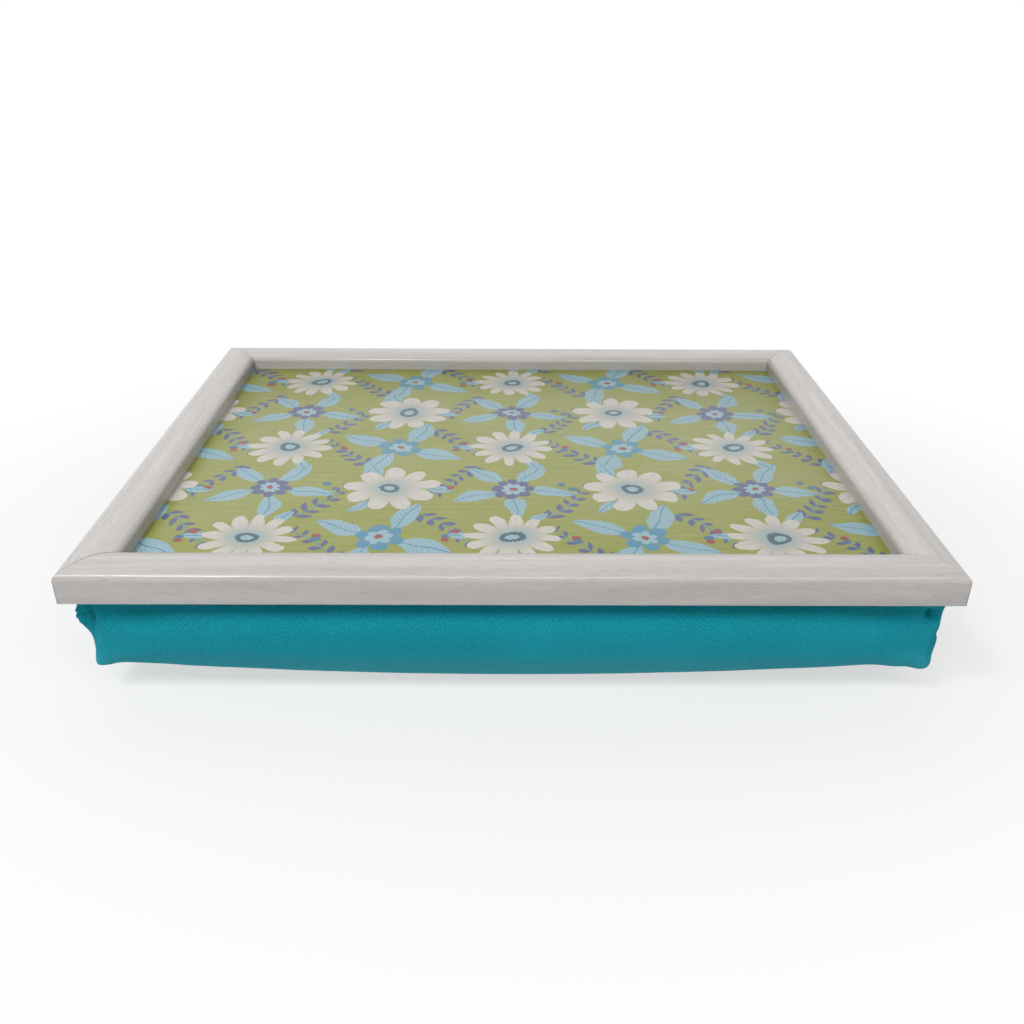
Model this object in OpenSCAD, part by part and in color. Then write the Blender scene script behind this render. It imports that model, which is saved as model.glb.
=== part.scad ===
// Cushioned lap tray. Four mitred mouldings frame a printed panel that lies sunk in
// their rebate, and a cotton cushion filled with beads is stapled under the frame.
// The floor is z = 0, the front is -Y and the long side runs along X.

/* [Frame] */
// Length of the long sides, outer face to outer face
tray_w = 440; // [340:1:560]
// Length of the short sides, outer face to outer face
tray_d = 340; // [260:1:440]
// Width of the moulding seen from above
rail_w = 25; // [22:0.5:34]
// Height of the moulding where its face meets the dome
edge_h = 14.6; // [12:0.1:20]
// Rise of the dome above its two edges
crown_rise = 4.4; // [2:0.1:7]
// Radius between the outer face and the dome
outer_round = 2.5; // [1:0.1:4]
// Radius between the inner face and the dome
inner_round = 1.2; // [0.5:0.1:3]
// Radius along the outer foot of the moulding
foot_round = 1; // [0.4:0.1:2]
// Glue line between two mitred ends
mitre_gap = 0.1; // [0:0.05:0.4]
// Width of the rebate that the panel lies in
rebate_w = 5.5; // [4:0.1:8]

/* [Panel] */
// Thickness of the clear wipe-clean film
film_t = 0.3; // [0.1:0.05:0.8]
// Thickness of the printed sheet
print_t = 0.3; // [0.1:0.05:0.8]
// Thickness of the board under the print
board_t = 3; // [2:0.1:5]
// Play between the panel and the rebate, each side
panel_play = 0.5; // [0.2:0.1:1.5]
// Depth left in the rebate below the framing points
rebate_spare = 3.5; // [0.5:0.1:6]

/* [Fasteners] */
// Length of each wing of a corner nail
nail_wing = 5; // [3:0.5:6]
// Thickness of a corner nail
nail_t = 0.5; // [0.3:0.05:0.8]
// Height of a corner nail
nail_h = 7; // [4:0.5:9]
// Distance of the first corner nail from the outer faces
nail_first = 4.5; // [3:0.5:6]
// Distance from one corner nail to the next
nail_pitch = 7.5; // [6.5:0.5:8.5]
// Corner nails in each mitre
nails_each = 2; // [1:1:2]
// Length of a framing point
point_l = 14; // [11:0.5:18]
// Width of a framing point
point_w = 5; // [3:0.5:8]
// Thickness of a framing point
point_t = 0.5; // [0.3:0.05:0.8]
// Depth that a framing point is driven into the rail
point_bite = 5; // [3:0.5:8]
// Framing points on a long rail
points_long = 4; // [2:1:6]
// Framing points on a short rail
points_short = 3; // [2:1:5]
// Distance of the last framing point from the tray's corner
point_end = 60; // [45:1:90]
// Width of a staple's crown
staple_crown = 11; // [8:0.5:14]
// Thickness of the staple wire
staple_wire = 0.8; // [0.5:0.05:1.2]
// Length of a staple's leg
staple_leg = 7; // [5:0.5:9]
// Staples under a long rail
staples_long = 7; // [3:1:9]
// Staples under a short rail
staples_short = 5; // [3:1:7]
// Distance of the last staple from the tray's corner
staple_end = 38; // [32:1:60]
// Play of a driven fastener in its hole
drive_play = 0.05; // [0.02:0.01:0.15]

/* [Cushion] */
// Height of the frame's underside above the floor
cushion_h = 60; // [40:1:90]
// Distance of the cushion's wall in from the frame's outer face
cover_inset = 6; // [5.5:0.1:12]
// Width of the hem that is turned out under the frame
hem_w = 4.5; // [3:0.1:5]
// Thickness of the cotton cover
cloth_t = 1; // [0.5:0.1:1.5]
// Thickness of the bag that holds the beads
bag_t = 0.5; // [0.3:0.1:1]
// Gap between cover, bag and beads
layer_gap = 0.4; // [0.2:0.05:0.6]
// How far the wall draws in from the frame to the belly
wall_taper = 0.8; // [0:0.1:6]
// How far the wall swells out between its corners
wall_bulge = 1.5; // [0:0.1:4]
// Radius of the belly at the middle of each side
side_round = 22; // [12:0.5:26]
// Radius of the belly at the corners
corner_round = 7; // [6:0.5:14]
// Corner radius seen from above, at the hem
corner_top_r = 5; // [4:0.5:12]
// Corner radius seen from above, under the belly
corner_belly_r = 11; // [8:0.5:30]
// How far the belly lifts from the floor at its corners
corner_lift = 15; // [2:0.5:20]
// How far the belly lifts from the floor at the middle of each side
side_rise = 2; // [1:0.1:6]
// Depth of the flat patch that the cushion rests on
flat_cut = 0.5; // [0.2:0.1:1]
// How far each lower corner stands out as an ear
ear_out = 3; // [0:0.1:5]
// Depth of the tuck in the cloth below each corner of the frame
tuck_in = 1.5; // [0:0.1:3]

/* [Hidden] */

FRONT = 0;
RIGHT = 1;
BACK = 2;
LEFT = 3;

// Overlap of a cutting shape past the face that it cuts
past = 1;
// Steps in the dome and in each small round of the moulding
dome_steps = 14;
round_steps = 4;
// Steps around the cushion: in a corner, along a long side and along a short side
corner_steps = 3;
long_steps = 6;
short_steps = 4;
// Levels of the cushion: parts of its wall, angles of its belly, shares of its base
wall_levels = [1, 0.66, 0.33, 0];
belly_angles = [60, 30];
base_shares = [0.2, 0.4, 0.6, 0.8, 1];
// How steeply the belly lifts towards its corners
lift_power = 2;
// Share of an ear's reach by which it also droops
ear_droop = 0.4;

rail_h = edge_h + crown_rise;
dome_r = (pow(rail_w / 2, 2) + pow(crown_rise, 2)) / (2 * crown_rise);
dome_z = rail_h - dome_r;
panel_t = film_t + print_t + board_t;
rebate_h = panel_t + point_t + rebate_spare;
panel_inset = rail_w - rebate_w + panel_play;
panel_w = tray_w - 2 * panel_inset;
panel_d = tray_d - 2 * panel_inset;
ledge_z = cushion_h + rebate_h;
hem_z = cushion_h - cloth_t;
hem_mid = cover_inset - hem_w / 2;

// The four sides. Each is drawn along X with its outer face at y = 0 and its foot at
// z = 0, and is then turned into its place under or in the frame.

function side_length(side) = side % 2 == 0 ? tray_w : tray_d;
function side_reach(side) = side % 2 == 0 ? tray_d / 2 : tray_w / 2;
function pick(side, long, short) = side % 2 == 0 ? long : short;
function spread(side, count, end) =
    let (reach = side_length(side) / 2 - end)
    [for (i = [0 : count - 1]) -reach + 2 * reach * i / (count - 1)];

module on_side(side) {
    rotate([0, 0, 90 * side])
        translate([0, -side_reach(side), cushion_h])
            children();
}

// The moulding's section. Its first coordinate runs inward from the outer face.

function arc(centre, r, from, to, steps) =
    [for (i = [0 : steps])
        let (a = from + (to - from) * i / steps)
        centre + r * [cos(a), sin(a)]];

// Height at which a round of radius r is centred, so that it meets the dome smoothly
function round_z(r) = dome_z + sqrt(pow(dome_r - r, 2) - pow(rail_w / 2 - r, 2));
// Angle at which that round meets the dome, measured from the inward direction
function meet_angle(r) = atan2(round_z(r) - dome_z, rail_w / 2 - r);

function rail_section() = concat(
    arc([foot_round, foot_round], foot_round, 270, 180, round_steps),
    arc([outer_round, round_z(outer_round)], outer_round,
        180, 180 - meet_angle(outer_round), round_steps),
    arc([rail_w / 2, dome_z], dome_r,
        180 - meet_angle(outer_round), meet_angle(inner_round), dome_steps),
    arc([rail_w - inner_round, round_z(inner_round)], inner_round,
        meet_angle(inner_round), 0, round_steps),
    [[rail_w, rebate_h], [rail_w - rebate_w, rebate_h], [rail_w - rebate_w, 0]]
);

module mitred(length) {
    cut = length / 2 - mitre_gap * sqrt(2) / 2;
    linear_extrude(rail_h + past)
        polygon([[-cut, 0], [cut, 0], [cut - rail_w, rail_w], [rail_w - cut, rail_w]]);
}

module rail(side) {
    length = side_length(side);
    color([0.80, 0.78, 0.77])
        difference() {
            on_side(side)
                intersection() {
                    translate([-length / 2, 0, 0])
                        rotate([90, 0, 90])
                            linear_extrude(length)
                                polygon(rail_section());
                    mitred(length);
                }
            points(side, drive_play);
            staple_legs(side, drive_play);
            corner_nails(side, drive_play);
            corner_nails((side + 3) % 4, drive_play);
        }
}

// Corner nails are small steel angles, driven across each mitre from below. Corner 0 is
// the front right one, at the right hand end of the front rail, and so on round.

module corner_nails(corner, play = 0) {
    end = side_length(corner) / 2;
    on_side(corner)
        for (i = [0 : nails_each - 1])
            translate([end - nail_first - nail_pitch * i, nail_first + nail_pitch * i, 0])
                corner_nail(play);
}

module corner_nail(play) {
    wing = nail_wing + nail_t / 2 + 2 * play;
    band = nail_t + 2 * play;
    foot = play > 0 ? past : 0;
    translate([0, 0, -foot])
        linear_extrude(nail_h + play + foot)
            union() {
                translate([nail_t / 2 + play - wing, -band / 2])
                    square([wing, band]);
                translate([-band / 2, -nail_t / 2 - play])
                    square([band, wing]);
            }
}

// The panel is a board with the printed sheet and a clear film bonded to it.

module panel_layer(top, t) {
    translate([-panel_w / 2, -panel_d / 2, top - t])
        cube([panel_w, panel_d, t]);
}

module clear_film() {
    color([0.90, 0.93, 0.90, 0.6])
        panel_layer(ledge_z, film_t);
}

module print_sheet() {
    color([0.62, 0.66, 0.36])
        panel_layer(ledge_z - film_t, print_t);
}

module panel_board() {
    color([0.55, 0.42, 0.30])
        panel_layer(ledge_z - film_t - print_t, board_t);
}

// Framing points are flat steel tabs, driven into the rebate under the board.

module points(side, play = 0) {
    top = rebate_h - panel_t;
    on_side(side)
        for (x = spread(side, pick(side, points_long, points_short), point_end))
            translate([
                x - point_w / 2 - play,
                rail_w - rebate_w - point_bite - play,
                top - point_t - play
            ])
                cube([point_w + 2 * play, point_l + 2 * play, point_t + 2 * play]);
}

// Staples hold the hem: the crown lies under it and the legs run up into the rail.

module at_staples(side) {
    on_side(side)
        for (x = spread(side, pick(side, staples_long, staples_short), staple_end))
            translate([x, hem_mid, hem_z - cushion_h - staple_wire])
                children();
}

module staple_legs(side, play = 0) {
    leg = staple_wire + 2 * play;
    at_staples(side)
        for (x = [-1, 1] * (staple_crown - staple_wire) / 2)
            translate([x - leg / 2, -leg / 2, 0])
                cube([leg, leg, staple_leg + play]);
}

module staples(side) {
    union() {
        at_staples(side)
            translate([-staple_crown / 2, -staple_wire / 2, 0])
                cube([staple_crown, staple_wire, staple_wire]);
        staple_legs(side);
    }
}

// The cushion's skin is a stack of rings. A station is one place on a ring: the corner
// that it belongs to or follows, whether it lies in that corner, and how far along it is.

function stations() = [
    for (q = [0 : 3])
        let (steps = pick(q, short_steps, long_steps))
        each concat(
            [for (i = [0 : corner_steps]) [q, true, i / corner_steps]],
            [for (i = [1 : steps - 1]) [q, false, i / steps]]
        )
];

function corner_point(q, t, half, r) =
    let (
        a = 90 * (q - 1 + t),
        sx = q < 2 ? 1 : -1,
        sy = q == 1 || q == 2 ? 1 : -1
    )
    [sx * (half.x - r) + r * cos(a), sy * (half.y - r) + r * sin(a)];

function station_point(s, half, r) =
    s[1] ? corner_point(s[0], s[2], half, r)
    : corner_point(s[0], 1, half, r) * (1 - s[2])
        + corner_point((s[0] + 1) % 4, 0, half, r) * s[2];

// How near a station lies to a corner, and how near to the corner's very tip
function nearness(s) = s[1] ? 1 : abs(2 * s[2] - 1);
function tipness(s) = s[1] ? sin(180 * s[2]) : 0;

function lift(s) = side_rise + corner_lift * pow(nearness(s), lift_power);
function belly_r(s) = side_round + (corner_round - side_round) * pow(nearness(s), 2);
function wall_half(inset) = [tray_w / 2 - cover_inset - inset, tray_d / 2 - cover_inset - inset];
function swell(s) = wall_bulge * (1 - pow(nearness(s), 2));

// A layer of the cushion lies t inside the skin's outer face and ends at height top.

// One point of the wall, at share f of the way down from the top to the belly
function wall_point(s, f, t, top) =
    let (
        inset = t + wall_taper * f * f - swell(s) * sin(180 * f)
            + tuck_in * tipness(s) * sin(180 * sqrt(f)),
        low = lift(s) - flat_cut + belly_r(s),
        r = corner_top_r + (corner_belly_r - corner_top_r) * f / 2 - t
    )
    concat(station_point(s, wall_half(inset), r), top + (low - top) * f);

// One point of the belly, at angle a round from the wall to the base
function belly_point(s, a, t) =
    let (
        ear = ear_out * tipness(s) * sin(2 * a),
        inset = t + wall_taper + (belly_r(s) - t) * (1 - cos(a)) - ear,
        r = (corner_top_r + corner_belly_r) / 2 + (corner_belly_r - corner_top_r) / 2 * a / 90,
        z = lift(s) - flat_cut + belly_r(s) - (belly_r(s) - t) * sin(a) - ear_droop * ear
    )
    concat(station_point(s, wall_half(inset), r - t * cos(a)), z);

// One point of the base, at share k of the way out from its middle
function base_point(s, k, t) =
    let (edge = belly_point(s, 90, t))
    [edge.x * k, edge.y * k, max(0, lift(s) * k * k - flat_cut) + t];

function layer(t, top) =
    let (all = stations())
    concat(
        [for (k = base_shares) [for (s = all) base_point(s, k, t)]],
        [for (a = belly_angles) [for (s = all) belly_point(s, a, t)]],
        [for (f = wall_levels) [for (s = all) wall_point(s, f, t, top)]]
    );

function reversed(list) = [for (i = [len(list) - 1 : -1 : 0]) list[i]];

// A closed solid through a pole, a stack of rings and a second pole. From row turn on,
// where the stack runs back inside itself, the faces are split the other way, so that
// they lie along the faces of the outer rows.
module stack(first, rings, last, turn) {
    n = len(rings[0]);
    tip = 1 + n * len(rings);
    corners = concat([first], [for (ring = rings) each ring], [last]);
    ends = [
        for (j = [0 : n - 1])
            let (i = (j + 1) % n, far = tip - n)
            each [[0, 1 + j, 1 + i], [tip, far + i, far + j]]
    ];
    sides = [
        for (k = [0 : len(rings) - 2], j = [0 : n - 1])
            let (a = 1 + k * n + j, b = 1 + k * n + (j + 1) % n)
            each k < turn ? [[a, b + n, b], [a, a + n, b + n]]
                : [[a, a + n, b], [b, a + n, b + n]]
    ];
    polyhedron(points = corners, faces = concat(ends, sides), convexity = 6);
}

module cushion_cover() {
    edge = [for (s = stations()) station_point(s, wall_half(-hem_w), corner_top_r + hem_w)];
    hem = [for (z = [hem_z, cushion_h]) [for (p = edge) [p.x, p.y, z]]];
    outer = concat(layer(0, hem_z), hem);
    inner = reversed(layer(cloth_t, cushion_h));
    color([0.09, 0.50, 0.56])
        difference() {
            stack([0, 0, 0], concat(outer, inner), [0, 0, cloth_t], len(outer));
            for (side = [FRONT : LEFT])
                staple_legs(side, drive_play);
        }
}

// A solid that fills the cushion from t inside its skin to a gap below the frame
module filling(t, gap) {
    top = cushion_h - gap;
    rings = layer(t, top);
    stack([0, 0, t], rings, [0, 0, top], len(rings));
}

module bead_bag() {
    outside = cloth_t + layer_gap;
    color([0.86, 0.85, 0.80])
        difference() {
            filling(outside, layer_gap);
            filling(outside + bag_t, layer_gap + bag_t);
        }
}

module bead_fill() {
    color([0.96, 0.96, 0.95])
        filling(cloth_t + bag_t + 2 * layer_gap, bag_t + 2 * layer_gap);
}

module rail_front() {
    rail(FRONT);
}

module rail_right() {
    rail(RIGHT);
}

module rail_back() {
    rail(BACK);
}

module rail_left() {
    rail(LEFT);
}

module steel() {
    color([0.62, 0.63, 0.65])
        children();
}

module corner_nails_front_right() {
    steel() corner_nails(FRONT);
}

module corner_nails_back_right() {
    steel() corner_nails(RIGHT);
}

module corner_nails_back_left() {
    steel() corner_nails(BACK);
}

module corner_nails_front_left() {
    steel() corner_nails(LEFT);
}

module points_front() {
    steel() points(FRONT);
}

module points_right() {
    steel() points(RIGHT);
}

module points_back() {
    steel() points(BACK);
}

module points_left() {
    steel() points(LEFT);
}

module staples_front() {
    steel() staples(FRONT);
}

module staples_right() {
    steel() staples(RIGHT);
}

module staples_back() {
    steel() staples(BACK);
}

module staples_left() {
    steel() staples(LEFT);
}

rail_front();
rail_right();
rail_back();
rail_left();
corner_nails_front_right();
corner_nails_back_right();
corner_nails_back_left();
corner_nails_front_left();
clear_film();
print_sheet();
panel_board();
points_front();
points_right();
points_back();
points_left();
cushion_cover();
bead_bag();
bead_fill();
staples_front();
staples_right();
staples_back();
staples_left();
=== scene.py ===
from math import atan2, cos, exp, pi, radians, sin, sqrt

import bmesh
import bpy
from mathutils import Matrix, Vector


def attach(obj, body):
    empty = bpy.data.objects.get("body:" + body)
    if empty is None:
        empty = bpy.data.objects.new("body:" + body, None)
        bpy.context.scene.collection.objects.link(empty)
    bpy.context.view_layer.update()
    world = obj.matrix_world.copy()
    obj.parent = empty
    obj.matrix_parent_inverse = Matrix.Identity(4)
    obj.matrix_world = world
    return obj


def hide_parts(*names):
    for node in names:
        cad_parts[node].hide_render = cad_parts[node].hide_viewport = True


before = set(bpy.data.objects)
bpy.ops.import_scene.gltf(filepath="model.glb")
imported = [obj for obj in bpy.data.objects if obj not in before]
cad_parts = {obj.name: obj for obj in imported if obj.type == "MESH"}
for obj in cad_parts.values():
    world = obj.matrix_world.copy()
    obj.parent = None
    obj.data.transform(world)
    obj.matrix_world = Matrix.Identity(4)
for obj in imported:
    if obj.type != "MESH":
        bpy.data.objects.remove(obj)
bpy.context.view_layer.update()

# Camera. It stands in front of the tray at sitting height, a touch left of the middle, and
# looks down on it by about 28 degrees.
camera_place = Vector((-0.0036, -0.5696, 0.3225))
look_down = radians(27.85)
look_right = radians(0.40)
camera_tilt = radians(0.35)
sensor_wide = 36
lens_long = 34.615
farthest_seen = 200

bpy.ops.object.camera_add(location=camera_place)
camera = bpy.context.object
turned = Matrix.Rotation(-look_right, 3, "Z")
lowered = Matrix.Rotation(pi / 2 - look_down, 3, "X")
tilted = Matrix.Rotation(camera_tilt, 3, "Z")
camera.rotation_euler = (turned @ lowered @ tilted).to_euler()
camera.data.sensor_width = sensor_wide
camera.data.lens = lens_long
camera.data.clip_end = farthest_seen
bpy.context.scene.camera = camera

# Frame rails: four lengths of one domed hardwood moulding, limewashed so that the grain stays
# faintly pink and grey, and sealed with satin lacquer. The ends are mitred and glued, and a
# rebate on the lower inner edge takes the panel.
tray_wide = 0.440
tray_deep = 0.340
frame_foot = 0.060
rail_wide = 0.025
rail_edge = 0.0146
rail_rise = 0.0044
outer_round = 0.0038
inner_round = 0.0030
foot_round = 0.001
rebate_wide = 0.0055
rebate_high = 0.0076
glue_line = 0.00004
eased_end = 0.00006
corner_round = 0.0007
foot_steps = 6
round_steps = 8
dome_steps = 28
corner_cuts = 5
mitre_lean = 0.6
soft_edge = radians(35)

dome_radius = ((rail_wide / 2) ** 2 + rail_rise ** 2) / (2 * rail_rise)
dome_centre = rail_edge + rail_rise - dome_radius


def round_height(radius):
    """Height of the centre of a small round that runs smoothly into the dome."""
    return dome_centre + sqrt((dome_radius - radius) ** 2 - (rail_wide / 2 - radius) ** 2)


def round_angle(radius):
    """Angle from the level at which that small round runs into the dome."""
    return atan2(round_height(radius) - dome_centre, rail_wide / 2 - radius)


def pick(piece):
    """Select just this piece."""
    bpy.ops.object.select_all(action="DESELECT")
    piece.select_set(True)
    bpy.context.view_layer.objects.active = piece


def select_faces(piece, wanted):
    """In edit mode, select just the faces that pass the test."""
    mesh = bmesh.from_edit_mesh(piece.data)
    bpy.ops.mesh.select_all(action="DESELECT")
    for face in mesh.faces:
        if wanted(face):
            face.select_set(True)
    bmesh.update_edit_mesh(piece.data)


def saw_off(place, facing):
    """In edit mode, cut off and close all that lies past a plane."""
    bpy.ops.mesh.select_all(action="SELECT")
    bpy.ops.mesh.bisect(plane_co=place, plane_no=facing, use_fill=True, clear_outer=True)


def draw_rail(name, length, reach):
    """One mitred rail, drawn along X with its outer face at y = -reach."""
    left = -length / 2

    def sweep(angle, inward, up, steps):
        centre = (left, inward - reach, frame_foot + up)
        bpy.ops.mesh.spin(steps=steps, angle=angle, center=centre, axis=(1, 0, 0))

    def draw_on(inward, up):
        bpy.ops.mesh.extrude_region_move(TRANSFORM_OT_translate={"value": (0, inward, up)})

    bpy.ops.object.select_all(action="DESELECT")
    start = (left, foot_round - reach, frame_foot)
    bpy.ops.mesh.primitive_plane_add(size=foot_round, location=start)
    rail = bpy.context.object
    rail.name = name
    rail.data.name = name
    bpy.ops.object.transform_apply(location=True, rotation=True, scale=True)
    bpy.ops.object.mode_set(mode="EDIT")
    bpy.ops.mesh.merge(type="CENTER")
    outer_angle = round_angle(outer_round)
    inner_angle = round_angle(inner_round)
    sweep(pi / 2, foot_round, foot_round, foot_steps)
    draw_on(0, round_height(outer_round) - foot_round)
    sweep(outer_angle, outer_round, round_height(outer_round), round_steps)
    sweep(pi - outer_angle - inner_angle, rail_wide / 2, dome_centre, dome_steps)
    sweep(inner_angle, rail_wide - inner_round, round_height(inner_round), round_steps)
    draw_on(0, rebate_high - round_height(inner_round))
    draw_on(-rebate_wide, 0)
    draw_on(0, -rebate_high)
    bpy.ops.mesh.select_all(action="SELECT")
    bpy.ops.mesh.edge_face_add()
    bpy.ops.mesh.extrude_region_move(TRANSFORM_OT_translate={"value": (length, 0, 0)})
    mitre_at = length / 2 - glue_line / sqrt(2)
    for end in (-1, 1):
        saw_off((end * mitre_at, -reach, 0), (end, 1, 0))
        centre = Vector((end * (length / 2 - corner_round), corner_round - reach, 0))
        for cut in range(1, corner_cuts + 1):
            angle = pi / 4 * cut / corner_cuts
            facing = Vector((end * sin(angle), -cos(angle), 0))
            saw_off(centre + facing * corner_round, facing)
    bpy.ops.mesh.select_all(action="SELECT")
    bpy.ops.mesh.normals_make_consistent(inside=False)
    select_faces(rail, lambda face: min(abs(face.normal.x), face.normal.y) > mitre_lean)
    bpy.ops.mesh.bevel(offset=eased_end, segments=1, affect="EDGES")
    bpy.ops.object.mode_set(mode="OBJECT")
    return rail


def copy_piece(piece, name):
    """A copy with its own mesh, left as the only selected piece."""
    pick(piece)
    bpy.ops.object.duplicate(linked=False)
    copy = bpy.context.object
    copy.name = name
    copy.data.name = name
    return copy


def turn_rail(rail, quarters):
    """Turn a rail about the tray's middle into its own side of the frame."""
    pick(rail)
    rail.rotation_euler.z = quarters * pi / 2
    bpy.ops.object.transform_apply(location=True, rotation=True, scale=True)
    bpy.ops.object.shade_smooth_by_angle(angle=soft_edge)


rail_front = draw_rail("frame_rail_front", tray_wide, tray_deep / 2)
rail_back = copy_piece(rail_front, "frame_rail_back")
turn_rail(rail_back, 2)
turn_rail(rail_front, 0)
rail_right = draw_rail("frame_rail_right", tray_deep, tray_wide / 2)
rail_left = copy_piece(rail_right, "frame_rail_left")
turn_rail(rail_left, 3)
turn_rail(rail_right, 1)


def shade(red, green, blue):
    """A colour written as on a paint chart, 0 to 255, as the shader wants it."""
    levels = [value / 255 for value in (red, green, blue)]
    linear = [v / 12.92 if v <= 0.04045 else ((v + 0.055) / 1.055) ** 2.4 for v in levels]
    return (linear[0], linear[1], linear[2], 1.0)


def feed(tree, sockets, values):
    """Give each socket its number, or wire it up."""
    for socket, value in zip(sockets, values):
        if isinstance(value, bpy.types.NodeSocket):
            tree.links.new(value, socket)
        else:
            socket.default_value = value


def reckon(tree, operation, *values):
    """A Math node."""
    node = tree.nodes.new("ShaderNodeMath")
    node.operation = operation
    feed(tree, node.inputs, values)
    return node.outputs[0]


def times(tree, *values):
    """One number times another."""
    return reckon(tree, "MULTIPLY", *values)


def shift(tree, operation, *values):
    """A Vector Math node."""
    node = tree.nodes.new("ShaderNodeVectorMath")
    node.operation = operation
    feed(tree, node.inputs, values)
    return node.outputs["Value"] if operation == "LENGTH" else node.outputs[0]


def split_up(tree, place):
    """The X, Y and Z of a place, each on its own."""
    node = tree.nodes.new("ShaderNodeSeparateXYZ")
    tree.links.new(place, node.inputs[0])
    return node.outputs


def ease(tree, value, low, high, least=0.0, most=1.0):
    """A soft step of a value from low to high."""
    node = tree.nodes.new("ShaderNodeMapRange")
    node.interpolation_type = "SMOOTHSTEP"
    feed(tree, node.inputs, (value, low, high, least, most))
    return node.outputs[0]


def paint_over(tree, mask, under, over, strength=1.0):
    """A Mix node for colours, which lays one over the other where the mask is."""
    if strength < 1.0:
        mask = times(tree, mask, strength)
    node = tree.nodes.new("ShaderNodeMix")
    node.data_type = "RGBA"
    feed(tree, (node.inputs[0], node.inputs[6], node.inputs[7]), (mask, under, over))
    return node.outputs[2]


def noise(tree, place, scale, detail=2.0, roughness=0.5):
    """A Noise Texture node. Its first output is the value, its second the colour."""
    if isinstance(scale, tuple):
        place = shift(tree, "MULTIPLY", place, scale)
        scale = 1.0
    node = tree.nodes.new("ShaderNodeTexNoise")
    tree.links.new(place, node.inputs["Vector"])
    node.inputs["Scale"].default_value = scale
    node.inputs["Detail"].default_value = detail
    node.inputs["Roughness"].default_value = roughness
    return node.outputs


def open_group(name, wants, gives):
    """A new node group, which takes a place and numbers, and gives numbers."""
    group = bpy.data.node_groups.new(name, "ShaderNodeTree")
    for way, labels in (("INPUT", wants), ("OUTPUT", gives)):
        for label in labels:
            kind = "NodeSocketVector" if label == "Place" else "NodeSocketFloat"
            group.interface.new_socket(name=label, in_out=way, socket_type=kind)
    entry = group.nodes.new("NodeGroupInput")
    leave = group.nodes.new("NodeGroupOutput")
    return group, entry.outputs, leave.inputs


def use_group(tree, group, **values):
    """Place a node group, with a value or a wire for each named socket."""
    node = tree.nodes.new("ShaderNodeGroup")
    node.node_tree = group
    for label, value in values.items():
        feed(tree, [node.inputs[label.replace("_", " ")]], [value])
    return node.outputs


def start_material(name):
    """A material with its Principled shader, and the tree to build in."""
    material = bpy.data.materials.new(name)
    material.use_nodes = True
    tree = material.node_tree
    return material, tree, tree.nodes["Principled BSDF"]


def object_place(tree, turn=(0, 0, 0), move=(0, 0, 0), scale=(1, 1, 1)):
    """Object coordinates through a Mapping node."""
    source = tree.nodes.new("ShaderNodeTexCoord")
    mapping = tree.nodes.new("ShaderNodeMapping")
    tree.links.new(source.outputs["Object"], mapping.inputs["Vector"])
    mapping.inputs["Location"].default_value = move
    mapping.inputs["Rotation"].default_value = turn
    mapping.inputs["Scale"].default_value = scale
    return mapping.outputs["Vector"]


def raise_bump(tree, shader, height, strength, distance):
    """A Bump node on the shader's normal."""
    bump = tree.nodes.new("ShaderNodeBump")
    bump.inputs["Strength"].default_value = strength
    bump.inputs["Distance"].default_value = distance
    tree.links.new(height, bump.inputs["Height"])
    tree.links.new(bump.outputs["Normal"], shader.inputs["Normal"])


# X runs along the rail from its middle, Y inward from its outer face, Z up from its foot. There
# are far fewer marks to the metre along the rail than across it.
streak_scale = (26, 850, 700)
band_scale = (7, 210, 120)
pore_scale = (120, 2600, 2200)
waver_scale = (9, 30, 30)
waver_wide = 0.003
glue_dark = 0.0001
glue_fades = 0.0009
lime_pale = shade(201, 198, 194)
lime_pink = shade(183, 174, 173)
lime_grey = shade(177, 174, 170)
pore_brown = shade(154, 142, 136)
glue_brown = shade(117, 90, 72)
grey_share = 0.55
pink_share = 0.55
pore_share = 0.34
lacquer_rough = 0.20
streak_rough = 0.16
grain_deep = 0.00006

grain, given, result = open_group(
    "limed grain",
    ("Place", "Board", "Half Length", "Left Glue", "Right Glue"),
    ("Streaks", "Bands", "Pores", "Joint"),
)
apart = grain.nodes.new("ShaderNodeCombineXYZ")
feed(grain, apart.inputs, (given["Board"], given["Board"]))
in_board = shift(grain, "ADD", given["Place"], apart.outputs[0])
waver = noise(grain, in_board, waver_scale, 2.0)[0]
lean = grain.nodes.new("ShaderNodeCombineXYZ")
off_line = reckon(grain, "MULTIPLY_ADD", waver, waver_wide, -waver_wide / 2)
grain.links.new(off_line, lean.inputs[1])
drawn = shift(grain, "ADD", in_board, lean.outputs[0])
streaks = noise(grain, drawn, streak_scale, 3.0, 0.6)[0]
bands = noise(grain, drawn, band_scale, 2.0, 0.5)[0]
pores = noise(grain, drawn, pore_scale, 1.0, 0.5)[0]
grain.links.new(ease(grain, streaks, 0.30, 0.70), result["Streaks"])
grain.links.new(ease(grain, bands, 0.30, 0.70), result["Bands"])
grain.links.new(ease(grain, pores, 0.56, 0.72), result["Pores"])
along, inward = split_up(grain, given["Place"])[:2]
from_middle = reckon(grain, "ABSOLUTE", along)
from_end = reckon(grain, "SUBTRACT", given["Half Length"], from_middle)
from_mitre = reckon(grain, "SUBTRACT", from_end, inward)
line = ease(grain, from_mitre, glue_fades, glue_dark)
line = times(grain, line, ease(grain, inward, 0.004, 0.013, 0.25, 1.0))
at_right = ease(grain, along, -0.01, 0.01)
at_left = reckon(grain, "SUBTRACT", 1.0, at_right)
right_glue = times(grain, given["Right Glue"], at_right)
left_glue = times(grain, given["Left Glue"], at_left)
glue = reckon(grain, "ADD", right_glue, left_glue)
grain.links.new(times(grain, line, glue), result["Joint"])


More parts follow.
